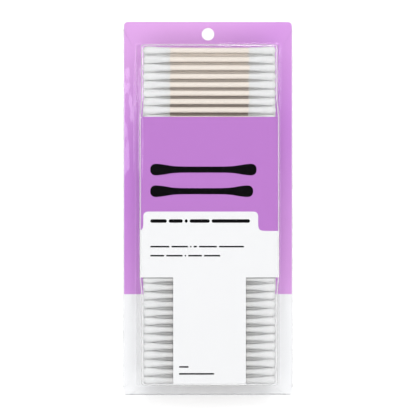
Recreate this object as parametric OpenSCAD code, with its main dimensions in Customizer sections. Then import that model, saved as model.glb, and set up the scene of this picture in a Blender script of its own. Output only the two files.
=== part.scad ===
// Cotton swab box: a clear thermoformed slide pack that holds rows of double-ended cotton swabs.
// The pack lies on its back: +Z points out of its front, +Y towards its hang hole, +X to its right.
// The origin is the middle of the back. Lengths are millimetres.

/* [Swabs] */
// Length of one swab over both buds
swab_l = 76.2; // [60:0.1:90]
// Largest diameter of a cotton bud
bud_d = 4.66; // [4:0.02:6]
// Length of a cotton bud along the stick
bud_l = 15.7; // [10:0.1:20]
// Distance from the bud's end to its shoulder, where the taper turns slender
bud_shoulder = 8.5; // [5:0.1:9]
// Thickness of the cotton round the stick at the shoulder
shoulder_wrap = 0.4; // [0.3:0.01:0.5]
// Thickness of the cotton where the bud runs out on the stick
neck_wrap = 0.16; // [0.12:0.01:0.28]
// Cotton beyond the end of the stick
bud_cover = 3; // [2:0.1:4]
// Diameter of the rolled paper stick
stick_d = 2.8; // [2:0.1:3]

/* [Stack] */
// Swabs in each full layer
rows = 40; // [20:1:48]
// Layers of swabs from the front of the pack to its back
layers = 13; // [4:1:16]
// Swabs in the last layer, next to the card
last_rows = 26; // [8:1:40]
// Clearance between neighbouring buds
bud_gap = 0.19; // [0.15:0.01:0.4]
// Clearance between the ends of the swabs and the clear wall
tip_gap = 0.65; // [0.5:0.05:3]
// Clearance between the lowest row and the clear wall below it
end_gap = 0.2; // [0.2:0.05:2]
// Slack between the highest row and the clear wall above it
top_gap = 1.1; // [0.2:0.05:2]
// Clearance between the last layer and the card
seat_gap = 0.3; // [0.2:0.05:1]

/* [Clear shell] */
// Thickness of the clear plastic sheet
sheet_t = 0.35; // [0.25:0.05:0.6]
// Draft of the dome's walls, in degrees
draft = 4; // [2:0.5:8]
// Radius of the dome's edges and corners
dome_r = 1.6; // [1.4:0.1:3]
// How far the side walls stand out beside the label
bulge = 1; // [0.8:0.1:1.6]
// Length over which the side walls slope back to the dome's width
bulge_run = 9; // [5:0.5:15]
// Flange beside the dome
margin_side = 7.7; // [6:0.1:14]
// Flange above the dome, which has the hang hole
margin_top = 13; // [11:0.1:24]
// Flange below the dome
margin_bottom = 5.6; // [5:0.1:12]
// Radius of the flange's corners
corner_r = 2.5; // [1.5:0.1:4]
// Width of the lips that are folded round the card's back
lip_w = 5; // [3:0.1:5]
// Length of flange at each corner that isn't folded
lip_stop = 4.5; // [4:0.1:8]

/* [Hang hole] */
// Diameter of the hole through the flange and the card
hole_d = 7.5; // [6:0.1:8]
// Distance from the pack's top edge to the hole's centre
hole_drop = 7.3; // [5.5:0.1:7.5]

/* [Card] */
// Thickness of the backing card
card_t = 0.45; // [0.3:0.05:0.8]
// Clearance of the card in its folded channels
slide_gap = 0.1; // [0.08:0.01:0.2]

/* [Label] */
// Thickness of the label's board
label_t = 0.3; // [0.2:0.05:0.5]
// Clearance on each side of the label
label_gap = 0.15; // [0.1:0.05:0.3]
// Length of the label's wide part, along the pack
label_l = 92.2; // [60:0.1:110]
// Distance from the dome's front top edge to the label
label_drop = 41.6; // [30:0.1:50]
// Width of the stem that runs down to the dome's bottom edge
stem_w = 41.8; // [30:0.1:43]
// Depth of the flaps that are folded back along the walls
flap_l = 20; // [10:0.5:40]

/* [Hidden] */
$fn = 48;
EPS = 0.01;
ARC_STEPS = 8;
EDGE_FN = 24;

// Heights of the folded lip, the card and the flange
card_z = sheet_t + slide_gap;
card_top = card_z + card_t;
flange_z = card_top + slide_gap;
flange_top = flange_z + sheet_t;
fold_r = flange_top / 2;

// Spacing of the swabs: each layer lies in the hollows of the one below
row_pitch = bud_d + bud_gap;
layer_pitch = row_pitch * sin(60);
last_z = card_top + seat_gap + bud_d / 2;
first_z = last_z + (layers - 1) * layer_pitch;

// The dome is drawn round the stack and the label
label_top_z = first_z + bud_d / 2 + label_gap + label_t;
dome_top = label_top_z + label_gap + sheet_t;
front_x = swab_l / 2 + tip_gap + sheet_t;
front_y = ((rows - 1) * row_pitch + bud_d + end_gap + top_gap) / 2 + sheet_t;
wall_h = dome_top - dome_r - flange_top;
spread = wall_h * tan(draft);
base_x = front_x + spread;
base_y = front_y + spread;
dome_y = (margin_bottom - margin_top) / 2;
stack_y = dome_y + (end_gap - top_gap) / 2;

// Outline of the pack
half_w = base_x + margin_side;
half_h = base_y + (margin_top + margin_bottom) / 2;
hole_y = half_h - hole_drop;

// Outline of the card, inside the folds
card_half_w = half_w - fold_r;
card_bottom = -half_h + fold_r;

// Places of the label
label_y1 = dome_y + front_y - label_drop;
label_y0 = label_y1 - label_l;
label_r = dome_r - sheet_t - label_gap;
label_bend_x = front_x + bulge - dome_r;
label_bend_y = dome_y - front_y + dome_r;
label_bend_z = label_top_z - label_r;
flap_lean = atan((base_x - front_x - bulge) / wall_h);

// Lengths of the stick, and the bore that it fills in the bud
stick_gap = 0.1;
stick_l = swab_l - 2 * bud_cover - 2 * stick_gap;
bore_r = stick_d / 2 + stick_gap;
neck_r = bore_r + neck_wrap;
shoulder_r = bore_r + shoulder_wrap;

function two_digits(i) = str(i < 10 ? "0" : "", i);
function sticks_name(i) = str("paper_sticks_", two_digits(i));
function buds_name(i) = str("cotton_buds_", two_digits(i));

// Points along an arc, from one angle to another
function arc(centre, r, from, to, steps = ARC_STEPS) = [
    for (i = [0 : steps])
        let (a = from + (to - from) * i / steps)
            centre + r * [cos(a), sin(a)]
];

// How many swabs a layer holds, and where its first one lies
function row_count(layer) =
    layer == layers ? min(last_rows, rows) : layer % 2 == 1 ? rows : rows - 1;
function row_y(layer, k) =
    stack_y - (rows - 1) * row_pitch / 2
    + ((layer % 2 == 1 ? 0 : 0.5) + k) * row_pitch;
function layer_z(layer) = first_z - (layer - 1) * layer_pitch;

// Half the section of a bud along +Y, from its round nose on the X axis to its slender neck
module bud_section() {
    bud_r = bud_d / 2;
    difference() {
        union() {
            intersection() {
                translate([0, bud_r])
                    circle(bud_r);
                square(bud_r);
            }
            polygon([
                [0, bud_r], [bud_r, bud_r], [shoulder_r, bud_shoulder],
                [neck_r, bud_l], [0, bud_l]
            ]);
        }
        translate([-EPS, bud_cover])
            square([bore_r + EPS, bud_l]);
    }
}

// One cotton bud with the blind bore of its stick, its nose at x = 0 and its neck towards +X
module cotton_bud() {
    rotate([0, 90, 0])
        rotate_extrude()
            bud_section();
}

// One rolled paper stick, centred on the origin and lying along X
module paper_stick() {
    rotate([0, 90, 0])
        cylinder(d = stick_d, h = stick_l, center = true);
}

// Puts a copy of its child at each swab of a layer
module each_swab(layer) {
    for (k = [0 : row_count(layer) - 1])
        translate([0, row_y(layer, k), layer_z(layer)])
            children();
}

module paper_sticks(layer) {
    color("#F5EADB")
        each_swab(layer)
            paper_stick();
}

module cotton_buds(layer) {
    color("#F8F8F8")
        for (side = [0, 180])
            each_swab(layer)
                rotate([0, 0, side])
                    translate([-swab_l / 2, 0, 0])
                        cotton_bud();
}

// A flat rectangle with round corners, given by half its width and its lowest and highest y
module round_rect(half_x, y0, y1, r) {
    translate([-half_x + r, y0])
        square([2 * (half_x - r), y1 - y0]);
    translate([-half_x, y0 + r])
        square([2 * half_x, y1 - y0 - 2 * r]);
    for (x = [-half_x + r, half_x - r], y = [y0 + r, y1 - r])
        translate([x, y])
            circle(r);
}

// The dome's form, drawn in by inset. Its foot reaches down to foot_z.
module dome_form(inset, foot_z) {
    r = dome_r - inset;
    hull()
        for (sx = [-1, 1], sy = [-1, 1]) {
            translate([sx * (front_x - dome_r), dome_y + sy * (front_y - dome_r), dome_top - dome_r])
                sphere(r, $fn = EDGE_FN);
            translate([sx * (base_x - dome_r), dome_y + sy * (base_y - dome_r), foot_z])
                cylinder(r = r, h = flange_top - foot_z, $fn = EDGE_FN);
        }
}

// Where the side walls stand out beside the label
module bulge_form(inset, foot_z) {
    r = dome_r - inset;
    hull()
        for (sx = [-1, 1]) {
            for (y = [label_y0, label_y1])
                translate([sx * (front_x + bulge - dome_r), y, dome_top - dome_r])
                    sphere(r, $fn = EDGE_FN);
            for (y = [label_y0 - bulge_run, label_y1 + bulge_run]) {
                translate([sx * (front_x - dome_r), y, dome_top - dome_r])
                    sphere(r, $fn = EDGE_FN);
                translate([sx * (base_x - dome_r), y, foot_z])
                    cylinder(r = r, h = flange_top - foot_z, $fn = EDGE_FN);
            }
        }
}

// Section of a fold round the card's edge, at the origin's right: the turn and then the lip
module fold_section() {
    centre = [-fold_r, fold_r];
    polygon(concat(
        arc(centre, fold_r, 90, -90),
        [[-lip_w, 0], [-lip_w, sheet_t]],
        arc(centre, fold_r - sheet_t, -90, 90)
    ));
}

// A fold along Y of a given length, with its outer edge on x = 0
module fold(length) {
    rotate([90, 0, 0])
        linear_extrude(length, center = true)
            fold_section();
}

// The flat flange: a strip is left out where each fold takes over
module flange() {
    folded_l = 2 * (half_h - lip_stop);
    folded_w = 2 * (half_w - lip_stop);
    translate([0, 0, flange_z])
        linear_extrude(sheet_t)
            difference() {
                round_rect(half_w, -half_h, half_h, corner_r);
                for (sx = [-1, 1])
                    translate([sx * half_w, 0])
                        square([2 * fold_r, folded_l], center = true);
                translate([0, -half_h])
                    square([folded_w, 2 * fold_r], center = true);
            }
    for (side = [0, 180])
        rotate([0, 0, side])
            translate([half_w, 0, 0])
                fold(folded_l);
    translate([0, -half_h, 0])
        rotate([0, 0, -90])
            fold(folded_w);
}

module blister_shell() {
    color("#E8ECEE", 0.35)
        difference() {
            union() {
                flange();
                dome_form(0, flange_z);
                bulge_form(0, flange_z);
            }
            dome_form(sheet_t, -EPS);
            bulge_form(sheet_t, -EPS);
            translate([0, hole_y, 0])
                cylinder(d = hole_d, h = flange_top + EPS);
        }
}

module backing_card() {
    color("#D6A0E2")
        translate([0, 0, card_z])
            linear_extrude(card_t)
                difference() {
                    round_rect(card_half_w, card_bottom, half_h, corner_r - slide_gap);
                    translate([0, hole_y])
                        circle(d = hole_d);
                }
}

// Section of the label's wide part, from one flap's end over the front to the other's
function flap_end(r) =
    [label_bend_x + r * cos(flap_lean) + flap_l * sin(flap_lean),
     label_bend_z + r * sin(flap_lean) - flap_l * cos(flap_lean)];
function right_side(r) = concat(
    arc([label_bend_x, label_bend_z], r, 90, flap_lean),
    [flap_end(r)]
);
function mirrored(points) = [for (p = points) [-p[0], p[1]]];
function reversed(points) = [for (i = [len(points) - 1 : -1 : 0]) points[i]];
function wide_section() = concat(
    right_side(label_r),
    reversed(right_side(label_r - label_t)),
    mirrored(right_side(label_r - label_t)),
    reversed(mirrored(right_side(label_r)))
);

// Section of the stem in y and z: flat along the front, then folded back along the bottom wall
stem_lean = draft;
function stem_end(r) =
    [label_bend_y - r * cos(stem_lean) - flap_l * sin(stem_lean),
     label_bend_z + r * sin(stem_lean) - flap_l * cos(stem_lean)];
function stem_section() = concat(
    [[label_y0 + EPS, label_top_z - label_t], [label_y0 + EPS, label_top_z]],
    arc([label_bend_y, label_bend_z], label_r, 90, 180 - stem_lean),
    [stem_end(label_r), stem_end(label_r - label_t)],
    arc([label_bend_y, label_bend_z], label_r - label_t, 180 - stem_lean, 90)
);

module label_insert() {
    color("#C484D4") {
        translate([0, (label_y0 + label_y1) / 2, 0])
            rotate([90, 0, 0])
                linear_extrude(label_l, center = true)
                    polygon(wide_section());
        rotate([90, 0, 90])
            linear_extrude(stem_w, center = true)
                polygon(stem_section());
    }
}

blister_shell();
backing_card();
label_insert();
for (i = [1 : layers]) {
    paper_sticks(i);
    cotton_buds(i);
}
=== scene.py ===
"""The looks of a cotton swab box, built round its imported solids.

The pack lies on its back. Everything is in metres, in the frame of the solids: +Z points out of the
pack's front, +Y towards its hang hole and +X to its right. The camera looks down on the front.
"""

import math

import bmesh
import bpy
import numpy as np
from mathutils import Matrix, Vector


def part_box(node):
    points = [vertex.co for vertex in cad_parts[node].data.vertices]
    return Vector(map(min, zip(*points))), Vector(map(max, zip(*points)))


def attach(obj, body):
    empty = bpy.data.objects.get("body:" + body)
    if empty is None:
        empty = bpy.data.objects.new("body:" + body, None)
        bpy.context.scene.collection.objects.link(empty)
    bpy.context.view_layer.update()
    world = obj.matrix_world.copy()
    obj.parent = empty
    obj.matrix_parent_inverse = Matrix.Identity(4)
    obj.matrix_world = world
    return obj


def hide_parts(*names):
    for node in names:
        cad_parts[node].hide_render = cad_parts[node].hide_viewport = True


MM = 0.001

# The clear sheet, as it was formed
SHEET_T = 0.35 * MM
DOME_R = 1.6 * MM
FOOT_R = 1.0 * MM
BULGE = 1.0 * MM
BULGE_RUN = 9.0 * MM
DRAFT = math.radians(4)
FLANGE_CORNER_R = 2.5 * MM
LIP_W = 5.0 * MM
LIP_STOP = 4.5 * MM
HOLE_R = 3.75 * MM
HOLE_DROP = 7.3 * MM

# The gaps between the sheet and the card, the swabs' tips, the stack's foot and the stack's top
SLIDE_GAP = 0.1 * MM
TIP_GAP = 0.65 * MM
END_GAP = 0.2 * MM
TOP_GAP = 1.1 * MM

# The sheet's shallow waves: how high they are, and about how far apart
FRONT_WAVE, FRONT_WAVE_L = 0.035 * MM, 55 * MM
WALL_WAVE, WALL_WAVE_L = 0.02 * MM, 30 * MM
FLANGE_WAVE, FLANGE_WAVE_L = 0.03 * MM, 16 * MM

# Rows of faces on the dome's front, round its edge, down its walls, round its foot, over the flange and
# round the card's edge
FRONT_ROWS = 18
EDGE_ROWS = 7
WALL_ROWS = 15
FOOT_ROWS = 5
FLANGE_ROWS = 10
FOLD_ROWS = 8

# Steps on the way round the dome: up, across, round a corner, and near a kink of the side walls
UP_STEP = 2.2 * MM
ACROSS_STEP = 2.5 * MM
CORNER_STEPS = 8
KINK_REACH = 2.0 * MM
KINK_STEP = 0.5 * MM

# One more ring of points lies this share of the half width inside the front's rim, so that the front
# shades flat up to there
RIM = 0.01

# The patch of flange that is opened for the hang hole: half its width, its steps across and its rows
HOLE_PATCH = 6.0 * MM
HOLE_STEPS = 16
HOLE_ROWS = 8
HOLE_POINTS = 48

# The swabs. A bud has a rounded nose, then tapers to the thin wrap at its neck
ROW_PITCH = 4.85 * MM
BUD_R = 2.40 * MM
BUD_L = 15.7 * MM
NOSE_L = 2.4 * MM
TAPER_L = 6.0 * MM
TAPER_POWER = 2.4
STICK_R = 1.4 * MM
WRAP_T = 0.12 * MM

# Above the label's foot the sticks are a little thicker than their solids, and lie a little higher.
# Beside the stem each bud's cotton runs on along its stick as a tail. Each layer's last swab lies
# nearer to the upper wall.
STICK_SWELL = 0.24 * MM
STICK_LIFT = 0.09 * MM
TAIL = 2.4 * MM
TOP_LEAN = 0.35 * MM

# A bud's wrinkles: turns round it, radians for each metre along it, and height in mm
WRINKLES = ((2, 60, 0.045), (3, 150, 0.035), (5, 330, 0.028), (9, 700, 0.018))

# Rings of a bud and points round it, and points round a stick: the two front layers are cut finer
NEAR_BUDS = ((22, 28), (18, 20))
FAR_BUDS = (12, 16)
NEAR_STICKS = 24
FAR_STICKS = 14
STICK_SEED = 100
BUD_SEED = 200

# The label, and where its purple and the card's end: the label's at a step with a tab on it
LABEL_L = 92.2 * MM
STEM_HALF = 20.9 * MM
CARD_PRINT_Y = -51.0 * MM
TAB_TOP = -1.8 * MM
TAB_STEP = -12.9 * MM
TAB_DEPTH = 20 * MM
TAB_LEFT = -38.0 * MM
TAB_RIGHT = 27.9 * MM
TAB_R = 2.6 * MM

# The label's print: where it starts on the wide part and on the stem, its pictures' height on the
# label and length, and its rows of bars. A row is in mm: height on the label, the bars' own height
# and their lengths, with gaps between them
INK_T = 0.02 * MM
PRINT_LEFT = -34.0 * MM
STEM_PRINT_LEFT = -17.5 * MM
PICTURES = ((22.3 * MM, 61 * MM), (9.9 * MM, 59 * MM))
BAR_GAP = 1.1
BAR_ROWS = (
    (-7.2, 2.0, (9.5, 8, 1.8, 11.5, 22)),
    (-21.9, 0.9, (11, 9.6, 0.9, 2, 10.4, 14.4)),
    (-27.1, 0.9, (8, 9.5, 0.9, 8, 9.4)),
    (-90.9, 0.9, (5.5,)),
    (-94.9, 0.9, (20.2,)),
)

# The colours are linear. The painted shade colours stand for the shade deep in the stack, where the front
# layer of swabs hides the light
LABEL_PURPLE = (0.49, 0.194, 0.582, 1)
LABEL_WHITE = (0.865, 0.865, 0.868, 1)
CARD_PURPLE = (0.64, 0.258, 0.765, 1)
# The card's purple where the painted sheen of the film over it lightens it
CARD_PAINTED_SHEEN = (0.78, 0.405, 0.83, 1)
CARD_WHITE = (0.985, 0.985, 0.99, 1)
INK = (0.002, 0.0016, 0.0025, 1)
STICK_CREAM = (0.845, 0.765, 0.688, 1)
STICK_PAINTED_SHADE = (0.085, 0.053, 0.037, 1)
COTTON_WHITE = (0.805, 0.805, 0.803, 1)
COTTON_NECK = (0.76, 0.747, 0.72, 1)
COTTON_PAINTED_SHADE = (0.53, 0.525, 0.515, 1)
COTTON_PAINTED_SHADE_BELOW = (0.62, 0.615, 0.61, 1)
SHEET_CLEAR = (0.99, 0.992, 0.996, 1)
# The grey of the painted contact shadow along the sheet's bottom edge
SHEET_PAINTED_SHADOW = (0.62, 0.62, 0.64, 1)
SHEET_PASSING = (0.97, 0.972, 0.975, 1)
TABLE_WHITE = (0.8, 0.8, 0.8, 1)

# How much the table glows for the camera, and how bright the studio's walls and its ceiling are
TABLE_GLOW = 0.2
TABLE_REACH = 12.0
WALL_LIGHT = 0.58
CEILING_LIGHT = 0.02

# The camera: its lens in mm, how far away it is, its lean to the left, and what it aims at
LENS = 224.6
CAMERA_AWAY = 1.545
CAMERA_LEAN = math.radians(0.9)
CAMERA_AIM = (0, 0.27 * MM, 1.0 * MM)

# Places this near to each other are the same, and points this near are welded
EPS = 1e-5
WELD = 1e-7

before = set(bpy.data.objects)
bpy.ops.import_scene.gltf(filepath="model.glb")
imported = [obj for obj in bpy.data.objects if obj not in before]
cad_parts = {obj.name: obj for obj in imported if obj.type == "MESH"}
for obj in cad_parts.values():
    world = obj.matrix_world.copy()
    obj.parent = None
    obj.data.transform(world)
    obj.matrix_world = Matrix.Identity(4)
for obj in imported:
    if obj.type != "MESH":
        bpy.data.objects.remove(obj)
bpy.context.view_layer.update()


def node_box(name):
    """A solid's lowest and highest corner as two arrays."""
    low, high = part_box(name)
    return np.array(low), np.array(high)


STICK_LAYERS = sorted(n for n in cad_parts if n.startswith("paper_sticks_"))
BUD_LAYERS = sorted(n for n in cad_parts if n.startswith("cotton_buds_"))
STACK_LOW, STACK_HIGH = node_box(BUD_LAYERS[0])
NECK_X = STACK_HIGH[0] - BUD_L
LABEL_HIGH = node_box("label_insert")[1]
LABEL_FOOT = LABEL_HIGH[1] - LABEL_L

# The clear shell's shape
HALF_W, HALF_H, DOME_TOP = node_box("blister_shell")[1]
FLANGE_TOP = node_box("backing_card")[1][2] + SLIDE_GAP + SHEET_T
FOLD_R = FLANGE_TOP / 2
FRONT_X = STACK_HIGH[0] + TIP_GAP + SHEET_T
FRONT_Y = (STACK_HIGH[1] - STACK_LOW[1] + END_GAP + TOP_GAP) / 2 + SHEET_T
DOME_Y = (STACK_HIGH[1] + STACK_LOW[1] + TOP_GAP - END_GAP) / 2
SPREAD = (DOME_TOP - DOME_R - FLANGE_TOP) * math.tan(DRAFT)
BASE_X, BASE_Y = FRONT_X + SPREAD, FRONT_Y + SPREAD
HOLE_Y = HALF_H - HOLE_DROP


# Materials


class Recipe:
    """A material's or a group's nodes, made by short calls that return sockets."""

    def __init__(self, tree):
        self.tree = tree

    def node(self, kind, **settings):
        """A new node with its settings. This one returns the node itself."""
        n = self.tree.nodes.new(kind)
        for key, value in settings.items():
            setattr(n, key, value)
        return n

    def feed(self, socket, value):
        """Links a socket, or sets a plain value."""
        if isinstance(value, bpy.types.NodeSocket):
            self.tree.links.new(value, socket)
        elif value is not None:
            socket.default_value = value

    def math(self, operation, a, b=None, c=None):
        n = self.node("ShaderNodeMath", operation=operation)
        for i, value in enumerate((a, b, c)):
            self.feed(n.inputs[i], value)
        return n.outputs[0]

    def ramp(self, value, low, high, out_low=0.0, out_high=1.0, smooth=False):
        """Goes from out_low to out_high while the value goes from low to high, and stops there."""
        n = self.node("ShaderNodeMapRange", clamp=True)
        n.interpolation_type = "SMOOTHSTEP" if smooth else "LINEAR"
        for i, v in enumerate((value, low, high, out_low, out_high)):
            self.feed(n.inputs[i], v)
        return n.outputs[0]

    def mix(self, factor, a, b):
        """Two colours mixed: the first at a factor of 0 and the second at 1."""
        n = self.node("ShaderNodeMix", data_type="RGBA")
        self.feed(n.inputs[0], factor)
        self.feed(n.inputs[6], a)
        self.feed(n.inputs[7], b)
        return n.outputs[2]

    def toned(self, color, value):
        """A colour made lighter or darker by a value about 1."""
        n = self.node("ShaderNodeVectorMath", operation="SCALE")
        self.feed(n.inputs[0], color[:3] if isinstance(color, tuple) else color)
        self.feed(n.inputs["Scale"], value)
        return n.outputs[0]

    def noise(self, vector, scale, detail=2.0, roughness=0.5):
        n = self.node("ShaderNodeTexNoise")
        self.feed(n.inputs["Vector"], vector)
        n.inputs["Scale"].default_value = scale
        n.inputs["Detail"].default_value = detail
        n.inputs["Roughness"].default_value = roughness
        return n.outputs["Fac"]

    def stretched(self, vector, factors):
        """A place multiplied axis by axis: a pattern gets longer along an axis with a small factor."""
        n = self.node("ShaderNodeVectorMath", operation="MULTIPLY")
        self.feed(n.inputs[0], vector)
        n.inputs[1].default_value = factors
        return n.outputs[0]

    def place(self):
        """Where a point of the piece is, in metres in the pack's frame."""
        return self.node("ShaderNodeTexCoord").outputs["Object"]

    def facing(self):
        """The way that a face looks, in the pack's frame."""
        return self.node("ShaderNodeNewGeometry").outputs["True Normal"]

    def axes(self, vector):
        """A vector's x, y and z."""
        n = self.node("ShaderNodeSeparateXYZ")
        self.feed(n.inputs[0], vector)
        return n.outputs

    def bump(self, height, strength, distance):
        n = self.node("ShaderNodeBump")
        n.inputs["Strength"].default_value = strength
        n.inputs["Distance"].default_value = distance
        self.feed(n.inputs["Height"], height)
        return n.outputs[0]

    def group(self, tree, **values):
        """A group's outputs, with the given values fed to its inputs."""
        n = self.node("ShaderNodeGroup", node_tree=tree)
        for key, value in values.items():
            self.feed(n.inputs[key], value)
        return n.outputs


def new_material(name):
    material = bpy.data.materials.new(name)
    material.use_nodes = True
    material.node_tree.nodes.clear()
    return material, Recipe(material.node_tree)


def finish_material(recipe, shader):
    out = recipe.node("ShaderNodeOutputMaterial")
    recipe.feed(out.inputs["Surface"], shader)


def principled(recipe, color, roughness, normal=None, **plain):
    """A Principled shader. The plain values are named as its inputs, with _ for a space."""
    n = recipe.node("ShaderNodeBsdfPrincipled")
    recipe.feed(n.inputs["Base Color"], color)
    recipe.feed(n.inputs["Roughness"], roughness)
    recipe.feed(n.inputs["Normal"], normal)
    for key, value in plain.items():
        n.inputs[key.replace("_", " ")].default_value = value
    return n.outputs[0]


def fibre_group():
    """Paper fibre: fine mottling that changes a colour's value a little, and the height for a bump."""
    tree = bpy.data.node_groups.new("paper_fibre", "ShaderNodeTree")
    tree.interface.new_socket("Vector", in_out="INPUT", socket_type="NodeSocketVector")
    tree.interface.new_socket("Shade", in_out="INPUT", socket_type="NodeSocketFloat")
    tree.interface.new_socket("Value", in_out="OUTPUT", socket_type="NodeSocketFloat")
    tree.interface.new_socket("Height", in_out="OUTPUT", socket_type="NodeSocketFloat")
    r = Recipe(tree)
    given = r.node("NodeGroupInput").outputs
    fine = r.noise(given["Vector"], 2600, detail=3, roughness=0.6)
    broad = r.noise(given["Vector"], 160)
    height = r.math("ADD", r.math("MULTIPLY", fine, 0.7), r.math("MULTIPLY", broad, 0.3))
    lean = r.math("MULTIPLY", r.math("SUBTRACT", height, 0.5), given["Shade"])
    out = r.node("NodeGroupOutput")
    r.feed(out.inputs["Value"], r.math("ADD", lean, 1.0))
    r.feed(out.inputs["Height"], height)
    return tree


PAPER_FIBRE = fibre_group()
FIBRE_BUMP = 0.05 * MM


def card_board():
    """The backing card: purple print over white, on its front face only.

    A painted sheen of the film over it makes the purple paler towards the upper left, towards both ends of
    the right side, and towards its lower end.
    """
    material, r = new_material("card_board")
    place = r.place()
    x, y, _ = r.axes(place)
    fibre = r.group(PAPER_FIBRE, Vector=place, Shade=0.06)
    front = r.math("GREATER_THAN", r.axes(r.facing())[2], 0.5)
    printed = r.math("MULTIPLY", front, r.math("GREATER_THAN", y, CARD_PRINT_Y))
    # Masks of the painted sheen of the film over the card
    slant = r.math("SUBTRACT", y, r.math("MULTIPLY", x, 0.5))
    upper_left = r.ramp(slant, 45 * MM, 125 * MM, smooth=True)
    high = r.ramp(y, 50 * MM, 92 * MM, 0.1, 0.6)
    low = r.ramp(y, 40 * MM, -50 * MM, 0.1, 0.9)
    right = r.math("MULTIPLY", r.ramp(x, 0, 50 * MM), r.math("MAXIMUM", high, low))
    lowest = r.ramp(y, 5 * MM, -50 * MM, 0.0, 0.42)
    painted_sheen = r.math("MAXIMUM", upper_left, r.math("MAXIMUM", right, lowest))
    purple = r.mix(painted_sheen, CARD_PURPLE, CARD_PAINTED_SHEEN)
    color = r.toned(r.mix(printed, CARD_WHITE, purple), fibre["Value"])
    roughness = r.ramp(front, 0, 1, 0.7, 0.42)
    normal = r.bump(fibre["Height"], 0.25, FIBRE_BUMP)
    finish_material(r, principled(r, color, roughness, normal))
    return material


def rounded_box(r, x, y, low, high, radius):
    """Signed distance of a point from a rectangle with round corners."""
    middle = [(a + b) / 2 for a, b in zip(low, high, strict=True)]
    half = [(b - a) / 2 - radius for a, b in zip(low, high, strict=True)]
    out = [
        r.math("SUBTRACT", r.math("ABSOLUTE", r.math("SUBTRACT", v, m)), h)
        for v, m, h in zip((x, y), middle, half, strict=True)
    ]
    beyond = [r.math("MAXIMUM", v, 0.0) for v in out]
    square = r.math("ADD", r.math("POWER", beyond[0], 2.0), r.math("POWER", beyond[1], 2.0))
    inner = r.math("MINIMUM", r.math("MAXIMUM", out[0], out[1]), 0.0)
    return r.math("SUBTRACT", r.math("ADD", r.math("SQRT", square), inner), radius)


def label_board():
    """The label insert: purple above, and white below a tab with round corners. Its back is plain."""
    material, r = new_material("label_board")
    place = r.place()
    x, y, _ = r.axes(place)
    fibre = r.group(PAPER_FIBRE, Vector=place, Shade=0.05)
    below = r.math("SUBTRACT", y, TAB_STEP)
    tab = rounded_box(r, x, y, (TAB_LEFT, TAB_STEP - TAB_DEPTH), (TAB_RIGHT, TAB_TOP), TAB_R)
    white = r.math("LESS_THAN", r.math("SMOOTH_MIN", below, tab, 2 * TAB_R), 0.0)
    # Faces that look towards a point inside the folded label are its back
    inside = (0, LABEL_FOOT, 20 * MM)
    outward = r.node("ShaderNodeVectorMath", operation="SUBTRACT")
    r.feed(outward.inputs[0], place)
    r.feed(outward.inputs[1], inside)
    turned = r.node("ShaderNodeVectorMath", operation="DOT_PRODUCT")
    r.feed(turned.inputs[0], outward.outputs[0])
    r.feed(turned.inputs[1], r.facing())
    plain = r.math("MAXIMUM", white, r.math("LESS_THAN", turned.outputs["Value"], 0.0))
    color = r.toned(r.mix(plain, LABEL_PURPLE, LABEL_WHITE), fibre["Value"])
    normal = r.bump(fibre["Height"], 0.2, FIBRE_BUMP)
    finish_material(r, principled(r, color, 0.45, normal))
    return material


def ink():
    """Printing ink, a little uneven where the paper's fibre shows through."""
    material, r = new_material("ink")
    fibre = r.group(PAPER_FIBRE, Vector=r.place(), Shade=0.5)
    finish_material(r, principled(r, r.toned(INK, fibre["Value"]), 0.4, Specular_IOR_Level=0.15))
    return material


def under_front(r, z):
    """How far a point lies under the front layer, from 0 on it to 1 where its swabs hide the light. It
    masks the swabs' painted shade.
    """
    lit, hidden = 3.4 * MM, 5.4 * MM
    return r.ramp(z, STACK_HIGH[2] - lit, STACK_HIGH[2] - hidden, smooth=True)


def from_ends(r, y):
    """How far a point lies from both ends of the stack, where light comes in: 0 there, 1 in its middle."""
    near, far = 2 * MM, 44 * MM
    from_top = r.ramp(y, STACK_HIGH[1] - near, STACK_HIGH[1] - far)
    from_foot = r.ramp(y, STACK_LOW[1] + near, STACK_LOW[1] + far)
    return r.math("MULTIPLY", from_top, from_foot)


def label_painted_shadow(r, x, y):
    """Painted shadow: the dark line where the front layer goes under the label's foot and its stem: 1
    beside them.
    """
    at_foot = r.ramp(y, LABEL_FOOT - 0.45 * MM, LABEL_FOOT - 0.8 * MM, 0.45, 1.0)
    across = r.math("ABSOLUTE", x)
    at_stem = r.ramp(across, STEM_HALF + 0.2 * MM, STEM_HALF + 0.9 * MM, 0.8, 1.0)
    beside = r.math("GREATER_THAN", y, LABEL_FOOT + 1 * MM)
    return r.math("MAXIMUM", r.math("MINIMUM", at_foot, at_stem), beside)


def stick_paper():
    """Rolled paper: cream, with the faint lines of its turns along the stick. Painted shade darkens its
    underside, and the sticks deep under the front layer.
    """
    material, r = new_material("stick_paper")
    place = r.place()
    _, y, z = r.axes(place)
    fibre = r.group(PAPER_FIBRE, Vector=r.stretched(place, (0.12, 1, 1)), Shade=0.14)
    # Painted shade of the sticks deep under the front layer, lighter towards the stack's ends
    depth_painted_shade = r.math("MULTIPLY", under_front(r, z), r.math("MULTIPLY_ADD", from_ends(r, y), 0.75, 0.25))
    cream = r.mix(depth_painted_shade, STICK_CREAM, STICK_PAINTED_SHADE)
    # Painted shade on the sticks' undersides
    underside_painted_shade = r.ramp(r.axes(r.facing())[1], -0.6, -1.0, 1.0, 0.8)
    color = r.toned(cream, r.math("MULTIPLY", fibre["Value"], underside_painted_shade))
    normal = r.bump(fibre["Height"], 0.3, FIBRE_BUMP)
    finish_material(r, principled(r, color, 0.6, normal))
    return material


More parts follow.
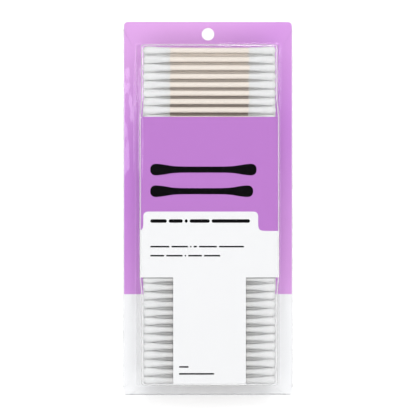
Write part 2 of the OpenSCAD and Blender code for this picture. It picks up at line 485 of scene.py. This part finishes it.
def cotton():
    """Wound cotton: white, matt, with fine fibres along each bud. It thins out towards its neck. Painted
    shade darkens the buds deep under the front layer, beside the label's stem and under its foot.
    """
    material, r = new_material("cotton")
    place = r.place()
    fibres = r.noise(r.stretched(place, (0.22, 1, 1)), 2600, detail=4, roughness=0.65)
    lumps = r.noise(place, 420)
    tone = r.ramp(r.math("ADD", fibres, lumps), 0.6, 1.4, 0.93, 1.03)
    x, y, z = r.axes(place)
    across = r.math("ABSOLUTE", x)
    thin = r.ramp(across, NECK_X + 4 * MM, NECK_X, 0.0, 0.5, smooth=True)
    below = r.ramp(y, LABEL_FOOT + 20 * MM, LABEL_FOOT)
    # Painted shade of the buds deep under the front layer, where their swabs hide the light
    depth_painted_shade = r.math("MULTIPLY", under_front(r, z), r.ramp(across, 33 * MM, 24 * MM))
    painted_shade_color = r.mix(below, COTTON_PAINTED_SHADE, COTTON_PAINTED_SHADE_BELOW)
    color = r.mix(depth_painted_shade, r.mix(thin, COTTON_WHITE, COTTON_NECK), painted_shade_color)
    # Painted shade: beside the stem the necks are up to a tenth darker
    stem_painted_shade = r.math("MULTIPLY_ADD", below, r.ramp(across, 35 * MM, 24 * MM, 0.0, -0.1), 1.0)
    # Painted shadow of the label's foot and stem on the buds
    tone = r.math("MULTIPLY", r.math("MULTIPLY", tone, stem_painted_shade), label_painted_shadow(r, x, y))
    color = r.toned(color, tone)
    normal = r.bump(fibres, 0.55, 0.14 * MM)
    woolly = {"Sheen_Weight": 0.2, "Sheen_Roughness": 0.5, "Specular_IOR_Level": 0.2}
    finish_material(r, principled(r, color, 0.9, normal, **woolly))
    return material


def clear_sheet():
    """Clear formed plastic, with a painted contact shadow in grey along its bottom edge, where it lies on
    the table.

    Light from lamps and from matt surfaces passes straight through it.
    """
    material, r = new_material("clear_sheet")
    place = r.place()
    normal = r.bump(r.noise(place, 900), 0.04, 0.05 * MM)
    # Painted contact shadow: the sheet turns grey within a hair of its bottom edge
    edge = r.ramp(r.axes(place)[1], -HALF_H + 0.75 * MM, -HALF_H + 0.3 * MM)
    color = r.mix(edge, SHEET_CLEAR, SHEET_PAINTED_SHADOW)
    shader = principled(r, color, 0.02, normal, Transmission_Weight=1.0, IOR=1.5)
    rays = r.node("ShaderNodeLightPath").outputs
    for kind in ("Is Diffuse Ray", "Is Shadow Ray"):
        passing = r.node("ShaderNodeBsdfTransparent")
        passing.inputs["Color"].default_value = SHEET_PASSING
        mixed = r.node("ShaderNodeMixShader")
        r.feed(mixed.inputs[0], rays[kind])
        r.feed(mixed.inputs[1], shader)
        r.feed(mixed.inputs[2], passing.outputs[0])
        shader = mixed.outputs[0]
    finish_material(r, shader)
    return material


# Meshes


def placed(name, mesh, material):
    """A piece from its mesh, in the scene."""
    mesh.materials.append(material)
    piece = bpy.data.objects.new(name, mesh)
    bpy.context.scene.collection.objects.link(piece)
    return piece


def mesh_piece(name, points, faces, material, smooth=True):
    """A piece from its points and faces."""
    mesh = bpy.data.meshes.new(name)
    mesh.from_pydata(np.asarray(points).tolist(), [], [list(f) for f in faces])
    mesh.polygons.foreach_set("use_smooth", [smooth] * len(mesh.polygons))
    mesh.update()
    return placed(name, mesh, material)


def dress_node(name, material):
    """Gives a solid that already has its true shape its finish."""
    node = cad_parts[name]
    node.data.materials.clear()
    node.data.materials.append(material)


def ring_faces(rings, around):
    """Quads between rings of points that follow one another."""
    i = np.arange(rings - 1)[:, None] * around
    j = np.arange(around)[None, :]
    k = (j + 1) % around
    quads = np.stack([i + j, i + k, i + around + k, i + around + j], axis=-1)
    return quads.reshape(-1, 4)


# The swabs


def row_centres(sticks):
    """Places of a layer's swabs, from the box that its sticks fill."""
    low, high = node_box(sticks)
    z = (low[2] + high[2]) / 2
    first, last = low[1] + STICK_R, high[1] - STICK_R
    count = round((last - first) / ROW_PITCH) + 1
    places = np.linspace(first, last, count)
    places[-1] += TOP_LEAN
    return [(y, z) for y in places]


def bud_profile(share, slim=STICK_R + STICK_SWELL + WRAP_T):
    """Distance from the bud's end and radius, for shares from its nose to its neck."""
    bend = 0.3
    turn = np.clip(share / bend, 0, 1) * math.pi / 2
    along = np.clip((share - bend) / (1 - bend), 0, 1)
    s = np.where(share < bend, NOSE_L * (1 - np.cos(turn)), NOSE_L + (BUD_L - NOSE_L) * along)
    taper = np.exp(-((np.maximum(s - NOSE_L, 0) / TAPER_L) ** TAPER_POWER))
    radius = np.where(share < bend, BUD_R * np.sin(turn) ** 0.8, slim + (BUD_R - slim) * taper)
    return s, radius


def bud_points(rng, rings, around, tail):
    """One wound bud: its nose at x = 0 and its neck towards +X, with the wrinkles of its wrap.

    The tail is a length of thin cotton that runs out beyond the neck. Where the cotton is full, its
    wrinkles are deeper. The nose leans a little and lies a little in or out, and the neck is ragged.
    """
    share = np.linspace(0, 1, rings)
    s, radius = bud_profile(share, STICK_R + WRAP_T) if tail else bud_profile(share)
    angle = np.linspace(0, 2 * math.pi, around, endpoint=False)
    s2, a2 = np.meshgrid(s, angle, indexing="ij")
    r2 = np.repeat(radius[:, None], around, axis=1)
    full = np.clip((r2 - STICK_R) / (BUD_R - STICK_R), 0, 1)
    relief = np.zeros_like(r2)
    for turns, waves, size in WRINKLES:
        twist = rng.uniform(-waves, waves)
        phase = rng.uniform(0, 2 * math.pi, 2)
        relief += size * np.sin(turns * a2 + twist * s2 + phase[0]) * np.cos(waves * s2 + phase[1])
    r2 = r2 + relief * MM * (0.4 + 2.2 * full)
    r2 = np.minimum(r2, BUD_R)
    to_neck = share[:, None]
    lean = rng.uniform(-0.08, 0.08, 2) * MM
    leaning = np.clip(1 - s2 / (6 * MM), 0, 1)
    ragged = tail + rng.uniform(-0.5, 0.1) * MM + 0.2 * MM * np.sin(a2 + phase[0])
    nose = rng.uniform(-0.35, 0.05) * MM
    x = s2 + nose * (1 - to_neck) + ragged * to_neck**6
    y = r2 * np.cos(a2) + lean[0] * leaning + (0 if tail else STICK_LIFT * to_neck)
    z = r2 * np.sin(a2) + lean[1] * leaning
    return np.stack([x, y, z], axis=-1).reshape(-1, 3)


def bud_layer(name, sticks, rings, around, material, seed):
    """Every bud of a layer as one piece. No bud crosses the middle between two rows."""
    rng = np.random.RandomState(seed)
    low, high = node_box(name)
    faces = ring_faces(rings, around)
    points, quads = [], []
    for y, z in row_centres(sticks):
        for side in (-1, 1):
            bud = bud_points(rng, rings, around, TAIL if y < LABEL_FOOT else 0)
            bud[:, 0] = (low[0] if side < 0 else high[0]) - side * bud[:, 0]
            bud[:, 1:] += (y, z)
            bud[:, 1] = np.clip(bud[:, 1], y - ROW_PITCH / 2, y + ROW_PITCH / 2)
            quads.append((faces if side > 0 else faces[:, ::-1]) + len(points) * rings * around)
            points.append(bud)
    wound = name.replace("cotton_buds", "wound_buds")
    piece = mesh_piece(wound, np.concatenate(points), np.concatenate(quads), material)
    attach(piece, "pack")
    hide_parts(name)


def stick_layer(name, around, material, seed):
    """Every stick of a layer as one piece, each very slightly bowed."""
    rng = np.random.RandomState(seed)
    low, high = node_box(name)
    stations = np.array([low[0], low[0] * 0.5, 0, high[0] * 0.5, high[0]])
    angle = np.linspace(0, 2 * math.pi, around, endpoint=False)
    faces = ring_faces(len(stations), around)
    points, quads = [], []
    for y, z in row_centres(name):
        bow = rng.uniform(-0.06, 0.06, 2) * MM
        lift, radius = (0, STICK_R) if y < LABEL_FOOT else (STICK_LIFT, STICK_R + STICK_SWELL)
        for x in stations:
            bend = 1 - (x / high[0]) ** 2
            ring_y = y + lift + bow[0] * bend + radius * np.cos(angle)
            ring_z = z + bow[1] * bend + radius * np.sin(angle)
            points.append(np.stack([np.full(around, x), ring_y, ring_z], axis=-1))
        quads.append(faces + len(quads) * len(stations) * around)
    rolled = name.replace("paper_sticks", "rolled_sticks")
    piece = mesh_piece(rolled, np.concatenate(points), np.concatenate(quads), material)
    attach(piece, "pack")
    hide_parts(name)


def all_swabs():
    """Every layer of swabs, the front one first."""
    paper, wool = stick_paper(), cotton()
    for i, (sticks, buds) in enumerate(zip(STICK_LAYERS, BUD_LAYERS, strict=True)):
        near = i < len(NEAR_BUDS)
        rings, around = NEAR_BUDS[i] if near else FAR_BUDS
        stick_layer(sticks, NEAR_STICKS if near else FAR_STICKS, paper, STICK_SEED + i)
        bud_layer(buds, sticks, rings, around, wool, BUD_SEED + i)


# The label's print


def bar(x, y, length, height):
    """The outline of a bar with round ends, from its left end."""
    radius = height / 2
    turns = np.linspace(math.pi / 2, 3 * math.pi / 2, 9)
    left = np.column_stack([radius * np.cos(turns), radius * np.sin(turns)]) + (x + radius, y)
    right = (x + length / 2) * 2 - left[:, 0]
    return np.concatenate([left, np.column_stack([right, left[:, 1]])[::-1]])


def swab_picture(x, y, length):
    """The outline of a swab as a plain picture: a stick with a drop-shaped bud on each end."""
    scale, slimmer, slim_run, stick_r = 1.5, 0.9 * MM, 12 * MM, 1.2 * MM
    s, radius = bud_profile(np.linspace(0, 1, 25)[1:])
    s, radius = s * scale, radius * scale
    radius = np.maximum(radius - slimmer * np.clip(s / slim_run, 0, 1), stick_r)
    upper = np.concatenate([[(x, y)], np.column_stack([x + s, y + radius])])
    mirror = np.column_stack([2 * x + length - upper[:, 0], upper[:, 1]])[::-1]
    top = np.concatenate([upper, mirror])
    return np.concatenate([top, np.column_stack([top[:, 0], 2 * y - top[:, 1]])[::-1][1:-1]])


def print_outlines():
    """The outlines of the label's print: two pictures of a swab, and rows of bars."""
    outlines = [swab_picture(PRINT_LEFT, y, length) for y, length in PICTURES]
    for y, height, lengths in BAR_ROWS:
        x = PRINT_LEFT if y * MM > LABEL_FOOT else STEM_PRINT_LEFT
        for length in lengths:
            outlines.append(bar(x, y * MM, length * MM, height * MM))
            x += (length + BAR_GAP) * MM
    return outlines


def label_print():
    """The label's print as flat faces, a hair above its front."""
    height = LABEL_HIGH[2] + INK_T
    flat = bmesh.new()
    for outline in print_outlines():
        flat.faces.new([flat.verts.new((x, y, height)) for x, y in outline])
    bmesh.ops.triangulate(flat, faces=flat.faces)
    bmesh.ops.recalc_face_normals(flat, faces=flat.faces)
    mesh = bpy.data.meshes.new("label_print")
    flat.to_mesh(mesh)
    flat.free()
    if mesh.polygons[0].normal.z < 0:
        mesh.flip_normals()
    piece = placed("label_print", mesh, ink())
    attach(piece, "pack")


# The clear shell, one sheet


def samples(low, high, step, kinks=()):
    """Places from low to high: evenly spaced, and closer round each kink."""
    places = np.linspace(low, high, round((high - low) / step) + 1)
    for kink in kinks:
        near = np.arange(kink - KINK_REACH, kink + KINK_REACH + KINK_STEP / 2, KINK_STEP)
        places = np.concatenate([places[abs(places - kink) > KINK_REACH + KINK_STEP], near])
    return np.unique(np.round(places[(places >= low) & (places <= high)], 7))


def stand_out(y):
    """How far the side walls stand out at y: in full beside the label, and sloping back beyond it."""
    ramp = np.minimum(y - LABEL_FOOT + BULGE_RUN, LABEL_HIGH[1] + BULGE_RUN - y) / BULGE_RUN
    return BULGE * np.clip(ramp, 0, 1)


def side_shares(front, foot, edge, stops):
    """Where the steps along the dome's sides are, across and up, as shares of half its width or height.

    Two steps lie close together where a lip stops, so that the fold ends in a straight edge. Other
    steps keep clear of them, and of the hole's.
    """
    clear_of_hole, clear_of_stop, stop_step = 0.01, 0.004, 4e-4
    bends = np.array([LABEL_FOOT - BULGE_RUN, LABEL_FOOT, LABEL_HIGH[1], LABEL_HIGH[1] + BULGE_RUN])
    up = samples(-front[1], front[1], UP_STEP, bends - DOME_Y) / front[1]
    across = samples(-foot[0], foot[0], ACROSS_STEP) / foot[0]
    by_hole = np.linspace(-HOLE_PATCH, HOLE_PATCH, HOLE_STEPS + 1) / foot[0]
    across = np.concatenate([across[abs(across) > by_hole[-1] + clear_of_hole], by_hole])
    shares = []
    for places, stop in ((across, stops[0] / edge[0]), (up, stops[1] / edge[1])):
        places = places[abs(abs(places) - stop) > clear_of_stop]
        at_stops = [-stop, stop, -stop - stop_step, stop + stop_step]
        shares.append(np.unique(np.concatenate([places, at_stops])))
    return shares


def shell_way():
    """The way round the dome, anticlockwise. Each step has its points on the front, the foot and the edge.

    The points on the front and the foot lie on the rectangle of the centres of the rounded edge.
    Gives those three, the way out of the wall, and whether the flange is folded there.
    """
    front = np.array([FRONT_X, FRONT_Y]) - DOME_R
    foot = np.array([BASE_X, BASE_Y]) - DOME_R
    edge = np.array([HALF_W, HALF_H]) - FLANGE_CORNER_R
    stops = np.array([HALF_W, HALF_H]) - LIP_STOP
    shares = side_shares(front, foot, edge, stops)
    hair = 1e-4
    steps = []
    turns = np.linspace(0, math.pi / 2, CORNER_STEPS + 1)[1:-1]
    middle = np.array([0, DOME_Y])
    right, top, left = range(3)
    corners = ((1, 1), (-1, 1), (-1, -1), (1, -1))
    for side, corner in enumerate(corners):
        axis = 1 if side in (right, left) else 0
        sign = 1 if side in (right, top) else -1
        out = np.zeros(2)
        out[1 - axis] = sign
        along = shares[axis][::-1] if side in (top, left) else shares[axis]
        for share in along:
            spot = out.copy()
            spot[axis] = share
            at = [middle + front * spot, middle + foot * spot, edge * spot]
            at[2][1 - axis] += sign * FLANGE_CORNER_R
            if axis == 1:
                at[0][0] += sign * stand_out(at[0][1])
            folded = side != top and abs(share) <= stops[axis] / edge[axis] + hair
            if folded:
                at[2][1 - axis] -= sign * FOLD_R
            steps.append((*at, out, folded))
        corner = np.array(corner)
        for turn in turns:
            angle = side * math.pi / 2 + turn
            out = np.array([math.cos(angle), math.sin(angle)])
            at = [middle + front * corner, middle + foot * corner, edge * corner + FLANGE_CORNER_R * out]
            steps.append((*at, out, False))
    return [np.array(part) for part in zip(*steps, strict=True)]


def wave(x, y, reach, seed):
    """A smooth random wave over a sheet, mostly between -1 and 1."""
    rng = np.random.RandomState(seed)
    total = np.zeros_like(x)
    for _ in range(7):
        turn, phase = rng.uniform(0, 2 * math.pi, 2)
        k = 2 * math.pi / (reach * rng.uniform(0.6, 1.7))
        total += np.sin(k * (x * math.cos(turn) + y * math.sin(turn)) + phase)
    return total / 3


def ring(points, height):
    """Points of the plan at a height."""
    return np.column_stack([points, np.broadcast_to(height, len(points))])


def shell_rings(front, foot, edge, out, depth):
    """One face of the sheet as rings, from the middle of its front to its flange's edge.

    The outer face has depth 0, and the inner one the sheet's thickness.
    """
    rings = []
    half = np.array([FRONT_X, FRONT_Y]) - DOME_R
    # The front's waves lie below its rim, and run out at it
    sunk = 1.6
    for inset in (*np.linspace(1, 0, FRONT_ROWS + 1)[:-1], RIM, 0):
        spot = (front - (0, DOME_Y)) * (1 - inset * half[0] / half) + (0, DOME_Y)
        level = FRONT_WAVE * (wave(*spot.T, FRONT_WAVE_L, seed=3) - sunk) * min(1, 3 * inset)
        rings.append(ring(spot, DOME_TOP - depth + level))
    turn_end = math.pi / 2 - DRAFT
    bend = DOME_R - depth
    for turn in np.linspace(0, turn_end, EDGE_ROWS + 1)[1:]:
        rings.append(ring(front + bend * math.sin(turn) * out, DOME_TOP - DOME_R + bend * math.cos(turn)))
    top = rings[-1][0, 2]
    foot_bend = FOOT_R + depth
    middle = DOME_R * math.sin(turn_end) + FOOT_R * math.cos(DRAFT)
    bottom = FLANGE_TOP + FOOT_R - foot_bend * math.sin(DRAFT)
    wall_run = 40 * MM
    for share in np.linspace(0, 1, WALL_ROWS + 1)[1:]:
        core = front + (foot - front) * share
        wobble = wave(core.sum(axis=1), np.full(len(core), wall_run * share), WALL_WAVE_L, seed=5)
        reach = bend * math.sin(turn_end) * (1 - share) + (middle - foot_bend * math.cos(DRAFT)) * share
        reach = reach + WALL_WAVE * math.sin(math.pi * share) * wobble
        rings.append(ring(core + reach[:, None] * out, top + (bottom - top) * share))
    for turn in np.linspace(DRAFT, math.pi / 2, FOOT_ROWS + 1)[1:]:
        reach = middle - foot_bend * math.cos(turn)
        rings.append(ring(foot + reach * out, FLANGE_TOP + FOOT_R - foot_bend * math.sin(turn)))
    start = rings[-1][:, :2]
    for share in np.linspace(0, 1, FLANGE_ROWS + 1)[1:]:
        spot = start + (edge - start) * share
        level = FLANGE_WAVE * wave(*spot.T, FLANGE_WAVE_L, seed=8) * math.sin(math.pi * share)
        rings.append(ring(spot, FLANGE_TOP - depth + level))
    return rings


def fold_rings(edge, out, depth):
    """One face of the fold round the card's edge, and then of the lip behind the card."""
    rings = []
    for turn in np.linspace(math.pi / 2, -math.pi / 2, FOLD_ROWS + 1)[1:]:
        bend = FOLD_R - depth
        rings.append(ring(edge + bend * math.cos(turn) * out, FOLD_R + bend * math.sin(turn)))
    for share in (0.5, 1):
        rings.append(ring(edge - (LIP_W - FOLD_R) * share * out, depth))
    return rings


def open_hole(mesh, tag, first_tag, patch, height):
    """Takes a patch of the flange's faces away, and joins its border to the round edge of the hole."""
    inside = {e for f in patch for e in f.edges}
    border = [e for e in inside if any(f not in patch for f in e.link_faces)]
    bmesh.ops.delete(mesh, geom=patch, context="FACES")
    turns = np.linspace(0, 2 * math.pi, HOLE_POINTS, endpoint=False)
    rim = [mesh.verts.new((HOLE_R * math.cos(a), HOLE_Y + HOLE_R * math.sin(a), height)) for a in turns]
    for i, vert in enumerate(rim):
        vert[tag] = first_tag + i
    circle = [mesh.edges.new((rim[i - 1], rim[i])) for i in range(len(rim))]
    bmesh.ops.bridge_loops(mesh, edges=border + circle)


def sheet_face(mesh, tag, way, depth):
    """Adds one face of the sheet, with the hang hole in it.

    Points that lie opposite each other on the two faces get the same number as their tag.
    """
    front, foot, edge, out, folded = way
    rings = shell_rings(front, foot, edge, out, depth)
    folds = fold_rings(edge, out, depth)
    around = len(front)
    rows = []
    for i, points in enumerate(rings + folds):
        rows.append([mesh.verts.new(p) for p in points])
        for j, vert in enumerate(rows[-1]):
            vert[tag] = i * around + j + 1
    flange_from = len(rings) - 1 - FLANGE_ROWS
    patch = []
    for i in range(len(rows) - 1):
        for j in range(around):
            k = (j + 1) % around
            if i >= len(rings) - 1 and not (folded[j] and folded[k]):
                continue
            face = mesh.faces.new((rows[i][j], rows[i + 1][j], rows[i + 1][k], rows[i][k]))
            upward = out[j][1] > 0.99
            by_hole = max(abs(foot[j][0]), abs(foot[k][0])) < HOLE_PATCH + EPS and upward
            if by_hole and flange_from <= i < flange_from + HOLE_ROWS:
                patch.append(face)
    open_hole(mesh, tag, len(rows) * around + 1, patch, FLANGE_TOP - depth)


def clear_shell():
    """The formed sheet: dome, flange, folds and lips in one piece."""
    way = shell_way()
    whole = bmesh.new()
    tag = whole.verts.layers.int.new("match")
    sides = []
    for depth in (0, SHEET_T):
        before = set(whole.verts)
        sheet_face(whole, tag, way, depth)
        sides.append([v for v in whole.verts if v not in before])
    for verts in sides:
        bmesh.ops.remove_doubles(whole, verts=verts, dist=WELD)
    bmesh.ops.delete(whole, geom=[v for v in whole.verts if not v.link_faces], context="VERTS")
    # Closes the sheet's edges between its two faces
    open_edges = [e for e in whole.edges if e.is_boundary]
    pairs = {}
    for e in open_edges:
        pairs.setdefault(frozenset(v[tag] for v in e.verts), []).append(e)
    for first, second in pairs.values():
        a, b = first.verts
        c, d = sorted(second.verts, key=lambda v: v[tag] != a[tag])
        whole.faces.new((a, b, d, c))
    bmesh.ops.recalc_face_normals(whole, faces=whole.faces)
    mesh = bpy.data.meshes.new("formed_shell")
    whole.to_mesh(mesh)
    whole.free()
    mesh.shade_smooth()
    mesh.set_sharp_from_angle(angle=math.radians(40))
    piece = placed("formed_shell", mesh, clear_sheet())
    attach(piece, "pack")
    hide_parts("blister_shell")


# The studio


def stage_floor():
    """A plain white table. From below it isn't there, so that the pack's back can be looked at."""
    material, r = new_material("white_table")
    matt = r.node("ShaderNodeBsdfDiffuse")
    matt.inputs["Color"].default_value = TABLE_WHITE
    glow = r.node("ShaderNodeEmission")
    rays = r.node("ShaderNodeLightPath").outputs
    seen = r.math("MAXIMUM", rays["Is Camera Ray"], rays["Is Glossy Ray"])
    seen = r.math("MAXIMUM", seen, rays["Is Transmission Ray"])
    r.feed(glow.inputs["Strength"], r.math("MULTIPLY", seen, TABLE_GLOW))
    both = r.node("ShaderNodeAddShader")
    r.feed(both.inputs[0], matt.outputs[0])
    r.feed(both.inputs[1], glow.outputs[0])
    gone = r.node("ShaderNodeBsdfTransparent")
    mixed = r.node("ShaderNodeMixShader")
    r.feed(mixed.inputs[0], r.node("ShaderNodeNewGeometry").outputs["Backfacing"])
    r.feed(mixed.inputs[1], both.outputs[0])
    r.feed(mixed.inputs[2], gone.outputs[0])
    finish_material(r, mixed.outputs[0])
    corners = [(TABLE_REACH * a, TABLE_REACH * b, 0) for a, b in ((-1, -1), (1, -1), (1, 1), (-1, 1))]
    mesh_piece("table", corners, [(0, 1, 2, 3)], material, smooth=False)


def softbox(name, tilt, away, size, share):
    """A square soft lamp that hangs over the pack, tilted from straight above towards the hang hole.

    On a surface that faces it, it gives the given share of the light under which a colour renders as
    it is written. The plastic doesn't mirror it.
    """
    lamp = bpy.data.lights.new(name, "AREA")
    lamp.shape = "SQUARE"
    lamp.size = size
    lamp.energy = share * (math.pi * away) ** 2
    thing = bpy.data.objects.new(name, lamp)
    thing.location = (0, away * math.sin(tilt), away * math.cos(tilt))
    thing.rotation_euler = (-tilt, 0, 0)
    thing.visible_glossy = thing.visible_transmission = False
    bpy.context.scene.collection.objects.link(thing)


def mirrored_lamp(name, size, glow):
    """A lamp with a width and a height that is seen only where the plastic mirrors it."""
    lamp = bpy.data.lights.new(name, "AREA")
    lamp.shape = "RECTANGLE"
    lamp.size, lamp.size_y = size
    lamp.energy = glow * math.pi * lamp.size * lamp.size_y
    thing = bpy.data.objects.new(name, lamp)
    thing.visible_diffuse = thing.visible_transmission = thing.visible_camera = False
    bpy.context.scene.collection.objects.link(thing)
    return thing


def gloss_light():
    """A lamp over the pack's left side: the flange mirrors it in wavy patches."""
    thing = mirrored_lamp("gloss_light", size=(0.24, 0.12), glow=3.4)
    thing.location = (-0.197, 0.097, 1.5)


def edge_light(name, turn, across, length, glow):
    """A low lamp that draws a bright line on one edge of the dome.

    The turn is the way from the pack to the lamp, from +X towards +Y.
    """
    thing = mirrored_lamp(name, size=(length, 0.45), glow=glow)
    tilt, away = math.radians(62), 1.3
    turn = math.radians(turn)
    out = Vector((math.sin(tilt) * math.cos(turn), math.sin(tilt) * math.sin(turn), math.cos(tilt)))
    thing.location = away * out + across * Vector((-math.sin(turn), math.cos(turn), 0))
    thing.rotation_euler = (-out).to_track_quat("-Z", "Y").to_euler()


def studio_walls():
    """The world: white walls, and a dark ceiling so that the plastic stays clear from above."""
    walls_end, ceiling_from = 0.45, 0.93
    world = bpy.data.worlds.new("studio")
    world.use_nodes = True
    r = Recipe(world.node_tree)
    height = r.axes(r.node("ShaderNodeTexCoord").outputs["Generated"])[2]
    light = r.ramp(height, walls_end, ceiling_from, WALL_LIGHT, CEILING_LIGHT)
    background = world.node_tree.nodes["Background"]
    background.inputs["Color"].default_value = (1, 1, 1, 1)
    r.feed(background.inputs["Strength"], light)
    bpy.context.scene.world = world


def studio():
    studio_walls()
    stage_floor()
    softbox("top_light", tilt=0.0, away=2.2, size=1.2, share=0.81)
    softbox("head_light", tilt=math.radians(20), away=2.0, size=0.45, share=0.21)
    gloss_light()
    edge_light("head_edge_light", turn=90, across=-0.13, length=0.2, glow=12)
    edge_light("left_edge_light", turn=180, across=-0.15, length=0.09, glow=10)
    edge_light("right_edge_light", turn=0, across=0.15, length=0.09, glow=7)
    bpy.context.scene.view_settings.view_transform = "Standard"


def camera():
    """Looks straight down on the pack's front, from a little to its left, as the photograph does."""
    lens = bpy.data.cameras.new("camera")
    lens.sensor_width = 36.0
    lens.lens = LENS
    lens.clip_end = 50.0
    eye = bpy.data.objects.new("camera", lens)
    towards = Vector((-math.sin(CAMERA_LEAN), 0, math.cos(CAMERA_LEAN)))
    eye.location = Vector(CAMERA_AIM) + CAMERA_AWAY * towards
    eye.rotation_euler = (0, -CAMERA_LEAN, 0)
    bpy.context.scene.collection.objects.link(eye)
    bpy.context.scene.camera = eye


camera()
studio()
dress_node("backing_card", card_board())
dress_node("label_insert", label_board())
label_print()
clear_shell()
all_swabs()
